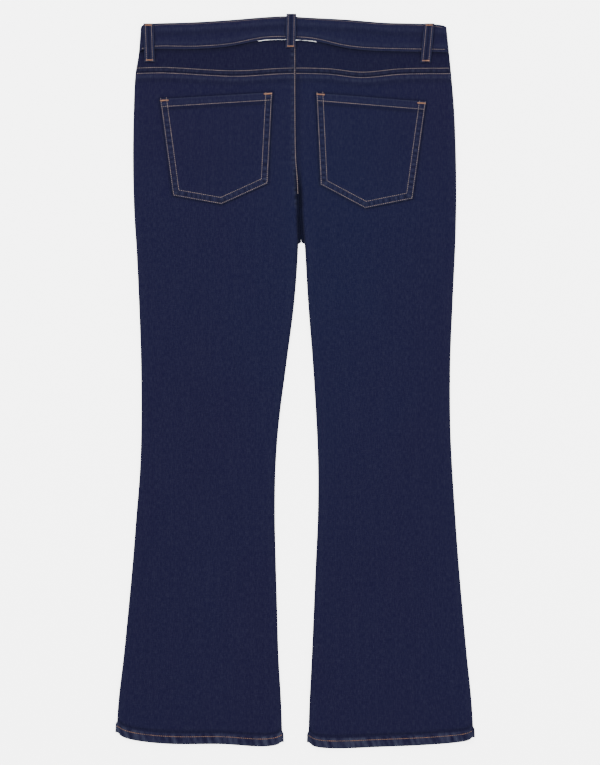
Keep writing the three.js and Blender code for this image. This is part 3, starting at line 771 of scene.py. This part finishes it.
def make_loop(name):
    number = list(LOOPS).index(name)

    def place(u, v):
        x, y = loop_point(name, u, v)
        edge = min(u, 1 - u) * LOOP_WIDTH
        ragged = 0.25 * soft_noise(x, y, 3, 2.0) * bump(edge, 1.0)
        gather = pucker(y * 1.7, 0, 1, 50.0 + number)
        wear = 0.4 * bump(edge, 1.2) + 0.16 * (bump(u - 0.27, 0.1) + bump(u - 0.73, 0.1))
        wear += 0.08 * gather + 0.35 * bump(v - 1, 0.03)
        # The last value is painted shade along the loop's middle, between its two raised stitch ridges.
        return x + ragged, y, loop_height(name, u, v) + 0.1 * gather, wear, 0.7 * bump(u - 0.5, 0.1)

    piece = grid_piece(name + "_cloth", 24, 60, place, LOOP_THICK)
    settle(piece, name, TRIM_DENIM)


def make_front_panel(side):
    """The layer that rests on the surface, with the same soft waves as its solid allows."""
    columns, rows = 60, 220
    out = OUT[side]
    front_seam = Curve([(511, 0), (343, 0.5), (300, 2), (250, 5), (CROTCH_Y, 9.6)])
    turns = 5

    def waist(x):
        """The front's top edge, with the pocket mouth scooped out of its outer corner."""
        edge = abs(OUTER[side](440))
        s = min(max((abs(x) - MOUTH_FROM) / (edge - MOUTH_FROM), 0), 1)
        waist_y = lerp(FRONT_WAIST_MIDDLE, FRONT_WAIST_SIDES, (x / FRONT_HALF_WIDTH) ** 2)
        scoop = 1 - (1 - s**MOUTH_BOW) ** (1 / MOUTH_BOW)
        return waist_y - SEAM_GAP / 2 - MOUTH_DROP * scoop

    def across(u, y):
        above = y > CROTCH_Y - 0.01
        inner = front_seam(y) + out * SEAM_GAP / 2 if above else INNER[side](y)
        outer = OUTER[side](y)
        i = round(u * columns)
        if i < turns:
            turn = i / turns * math.pi / 2
            return inner + out * FRONT_FOLD * (1 - math.cos(turn)), math.sin(turn), "inner"
        if i > columns - turns:
            turn = (columns - i) / turns * math.pi / 2
            return outer - out * FRONT_FOLD * (1 - math.cos(turn)), math.sin(turn), "outer"
        t = (i - turns) / (columns - 2 * turns)
        return lerp(inner + out * FRONT_FOLD, outer - out * FRONT_FOLD, t), 1.0, "middle"

    def place(u, v):
        nominal = lerp(LEG_TOP, LEG_BOTTOM, v)
        near = across(u, nominal)[0]
        y = nominal
        if nominal > CROTCH_Y:
            y = lerp(CROTCH_Y, waist(near), (nominal - CROTCH_Y) / (LEG_TOP - CROTCH_Y))
        elif nominal < HEM_BEND:
            y = lerp(HEM_BEND, HEMS[side](near), (HEM_BEND - nominal) / (HEM_BEND - LEG_BOTTOM))
        x, rise, edge = across(u, y)
        under = max(UNDER(y), 0)
        rim = RIM(y) - SEAM_GAP / 2
        if edge == "inner":
            rim = lerp(under, INNER_RIM - INSEAM_DROP - SEAM_GAP, 1 - smooth(y, 196, 214))
        wave = 0.08 + 0.08 * soft_noise(x, y, 30, 60.0)
        from_hem = y - HEMS[side](x)
        rope = soft_noise(x, from_hem * 0.2, 6.5, 70.0)
        band = smooth(-from_hem, -HEM_DEPTH, -HEM_DEPTH + 2.5)
        wear = band * (0.2 + 0.9 * rope) + 0.12 * bump(waist(x) - y, 2.5)
        return x, y, lerp(rim, under + wave, rise), wear, 0.0

    piece = grid_piece(side + "_front_panel_cloth", columns, rows, place, DENIM, up=-1)
    settle(piece, side + "_front_panel", LEG_DENIM)


class Stitches:
    """Many small raised stitches in one mesh."""

    def __init__(self):
        self.bm = bmesh.new()

    def one(self, x, y, z, angle, length=2.5, width=1.0, height=0.5):
        scale = Matrix.Diagonal((length / 2, width / 2, height / 2, 1))
        turn = Matrix.Rotation(angle, 4, "Z")
        matrix = Matrix.Translation(Vector((x, y, z)) * MM) @ turn @ Matrix.Scale(MM, 4) @ scale
        bmesh.ops.create_uvsphere(self.bm, u_segments=6, v_segments=4, radius=1, matrix=matrix)

    def row(self, path, height_at, lift=0.2, pitch=STITCH_PITCH, **size):
        """Stitches end to end along a path of points, each at the cloth's own height."""
        left = 0.0
        for a, b in zip(path, path[1:]):
            length = math.dist(a, b)
            if length < 1e-6:
                continue
            angle = math.atan2(b[1] - a[1], b[0] - a[0])
            while left < length:
                t = left / length
                x, y = lerp(a[0], b[0], t), lerp(a[1], b[1], t)
                tilt = angle + random.uniform(-0.06, 0.06)
                self.one(x, y, height_at(x, y) + lift, tilt, **size)
                left += pitch * random.uniform(0.96, 1.04)
            left -= length

    def tack(self, x, y, angle, length, height_at, depth=2.6):
        """A bar tack: short stitches packed side by side along its length."""
        count = int(length / TACK_PITCH)
        along = Vector((math.cos(angle), math.sin(angle)))
        for k in range(count):
            p = Vector((x, y)) + along * (k / (count - 1) - 0.5) * length
            z = height_at(p.x, p.y) + 0.2
            self.one(p.x, p.y, z, angle + math.pi / 2 + 0.15, depth, 0.85, 0.6)

    def finish(self, name, material):
        mesh = bpy.data.meshes.new(name)
        self.bm.to_mesh(mesh)
        self.bm.free()
        mesh.materials.append(material)
        for face in mesh.polygons:
            face.use_smooth = True
        piece = bpy.data.objects.new(name, mesh)
        bpy.context.scene.collection.objects.link(piece)
        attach(piece, "root")


def line(start, end, height, step=6):
    """A path across the garment from x start to x end, at height(x)."""
    count = max(2, int(abs(end - start) / step))
    xs = [lerp(start, end, k / count) for k in range(count + 1)]
    return [(x, height(x)) for x in xs]


def inset_path(side, inset):
    """The pocket's sides and foot, moved in from its edge."""
    path = pocket_edges(side)
    middle = Vector((sum(p[0] for p in path) / 5, sum(p[1] for p in path) / 5))
    normals = []
    for a, b in zip(path, path[1:]):
        n = Vector((b[1] - a[1], a[0] - b[0])).normalized()
        if n.dot(middle - Vector(a)) < 0:
            n = -n
        normals.append(n)
    moved = [Vector(path[0]) + normals[0] * inset]
    for k in range(1, 4):
        n = (normals[k - 1] + normals[k]).normalized()
        moved.append(Vector(path[k]) + n * inset / n.dot(normals[k]))
    moved.append(Vector(path[4]) + normals[3] * inset)
    return [(p.x, p.y) for p in moved]


def make_stitches():
    on_band = lambda x, y: band_height(x, y) + band_details(x, y)[0]
    waist = Stitches()
    waist.row(line(-228, 224, lambda x: WAIST_SEAM(x) + 4.6), on_band)
    waist.row(line(-226, 222, lambda x: WAIST_TOP(x) - 2.4), on_band, width=0.6, height=0.35)
    for offset in (TWIN_ROWS - 2.0, -2.0):
        waist.row(line(-236, -1, lambda x: YOKE_SEAM(x) + offset), surface)
        waist.row(line(3, 232, lambda x: YOKE_SEAM(x) + offset), surface)
    waist.finish("stitches_waist", TAN_THREAD)

    seat = Stitches()
    heights = [505 - 5 * k for k in range(46)]
    seat.row([(SEAT_SEAM(y) - 1.5, y) for y in heights], surface, width=1.3)
    seat.finish("stitches_seat", TAN_THREAD)

    pockets = Stitches()
    for side in POCKETS:
        height_at = pocket_surface(side)
        for inset in (1.6, 1.6 + POCKET_ROWS):
            pockets.row(inset_path(side, inset), height_at)
        (ax, ay), (bx, by) = POCKETS[side][0], POCKETS[side][1]
        pockets.row([(ax + 3, ay - POCKET_HEM_STITCH), (bx - 3, by - POCKET_HEM_STITCH)], height_at)
    pockets.finish("stitches_pockets", TAN_THREAD)

    hems = Stitches()
    for side, hem in HEMS.items():
        start, end = sorted((OUTER[side](-520), INNER[side](-520)))
        path = line(start + 1.5, end - 1.5, lambda x: hem(x) + HEM_STITCH)
        hems.row(path, surface, lift=0.4, length=2.9, width=1.1, height=0.6)
    hems.finish("stitches_hems", HEM_THREAD)

    tacks = Stitches()
    for side in POCKETS:
        height_at = pocket_surface(side)
        (ax, ay), (bx, by) = POCKETS[side][0], POCKETS[side][1]
        slant = math.atan2(by - ay, bx - ax)
        tacks.tack(ax + 7, ay - 2.2, slant, 11.5, height_at)
        tacks.tack(bx - 7, by - 2.2, slant, 11.5, height_at)
    for name in LOOPS:
        for v in (0.045, 0.955):
            x, y = loop_point(name, 0.5, v)
            on_loop = lambda px, py: loop_height(name, 0.5 + (px - x) / LOOP_WIDTH, v)
            if v > 0.5 or name != "belt_loop_back_centre":
                tacks.tack(x, y, 0.0, 10, on_loop, depth=2.2)
    tacks.finish("stitches_tacks", TACK_THREAD)

    loops = Stitches()
    for name in LOOPS:
        for u in (0.2, 0.8):
            path = [loop_point(name, u, 0.03 + 0.94 * k / 12) for k in range(13)]
            top_y, low_y = LOOPS[name][1], LOOPS[name][3]
            on_loop = lambda px, py: loop_height(name, u, (top_y - py) / (top_y - low_y))
            loops.row(path, on_loop, width=0.75)
    loops.finish("stitches_loops", TAN_THREAD)


def pocket_surface(side):
    def height_at(x, y):
        rest = back_top(side, x, y) + SEAM_GAP + POCKET_THICK + POCKET_LOFT
        return rest + pocket_details(side, x, y)[0]

    return height_at


def dress_cad_nodes():
    """The plain hidden pieces keep their solids and take the finished materials."""
    plain = ["left_pocket_facing", "right_pocket_facing", "waistband_front_left", "fly",
             "waistband_front_right", "belt_loop_front_left", "belt_loop_front_right"]
    for node in plain:
        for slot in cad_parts[node].material_slots:
            slot.material = TRIM_DENIM
    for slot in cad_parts["button"].material_slots:
        slot.material = BUTTON_METAL


def make_floor():
    bm = bmesh.new()
    bmesh.ops.create_grid(bm, x_segments=1, y_segments=1, size=6)
    bmesh.ops.translate(bm, verts=bm.verts, vec=(0, 0, -0.0003))
    mesh = bpy.data.meshes.new("floor")
    bm.to_mesh(mesh)
    bm.free()
    floor = bpy.data.objects.new("floor", mesh)
    bpy.context.scene.collection.objects.link(floor)
    s = Shader("floor_white")
    s.bsdf.inputs["Base Color"].default_value = (0.93, 0.93, 0.93, 1)
    s.bsdf.inputs["Roughness"].default_value = 0.9
    s.bsdf.inputs["Specular IOR Level"].default_value = 0.1
    s.bsdf.inputs["Emission Color"].default_value = (1, 1, 1, 1)
    s.bsdf.inputs["Emission Strength"].default_value = 4.0
    mesh.materials.append(s.material)


def make_light(name, place, size, power):
    data = bpy.data.lights.new(name, "AREA")
    data.size = size
    data.energy = power
    light = bpy.data.objects.new(name, data)
    light.location = place
    light.rotation_euler = (-Vector(place)).to_track_quat("-Z", "Y").to_euler()
    bpy.context.scene.collection.objects.link(light)


def make_camera():
    """Straight down on the garment, a little right of its middle."""
    height_seen = 1.1475
    lens = 120
    distance = height_seen * lens / 36
    data = bpy.data.cameras.new("camera")
    data.lens = lens
    data.sensor_width = 36
    camera = bpy.data.objects.new("camera", data)
    camera.location = (0.0075, -0.0015, distance)
    bpy.context.scene.collection.objects.link(camera)
    bpy.context.scene.camera = camera


def make_world():
    world = bpy.data.worlds.new("studio")
    world.use_nodes = True
    background = world.node_tree.nodes["Background"]
    background.inputs["Color"].default_value = (1, 1, 1, 1)
    background.inputs["Strength"].default_value = 1.25
    bpy.context.scene.world = world


make_camera()
for panel_side in OUT:
    make_front_panel(panel_side)
    make_back_panel(panel_side)
    make_yoke(panel_side)
    make_pocket(panel_side)
make_waistband()
for loop_name in LOOPS:
    make_loop(loop_name)
make_stitches()
dress_cad_nodes()
make_floor()
make_world()
make_light("key", (-1.4, 1.8, 2.6), 1.6, 100)
make_light("fill", (1.8, -0.6, 2.4), 2.0, 46)
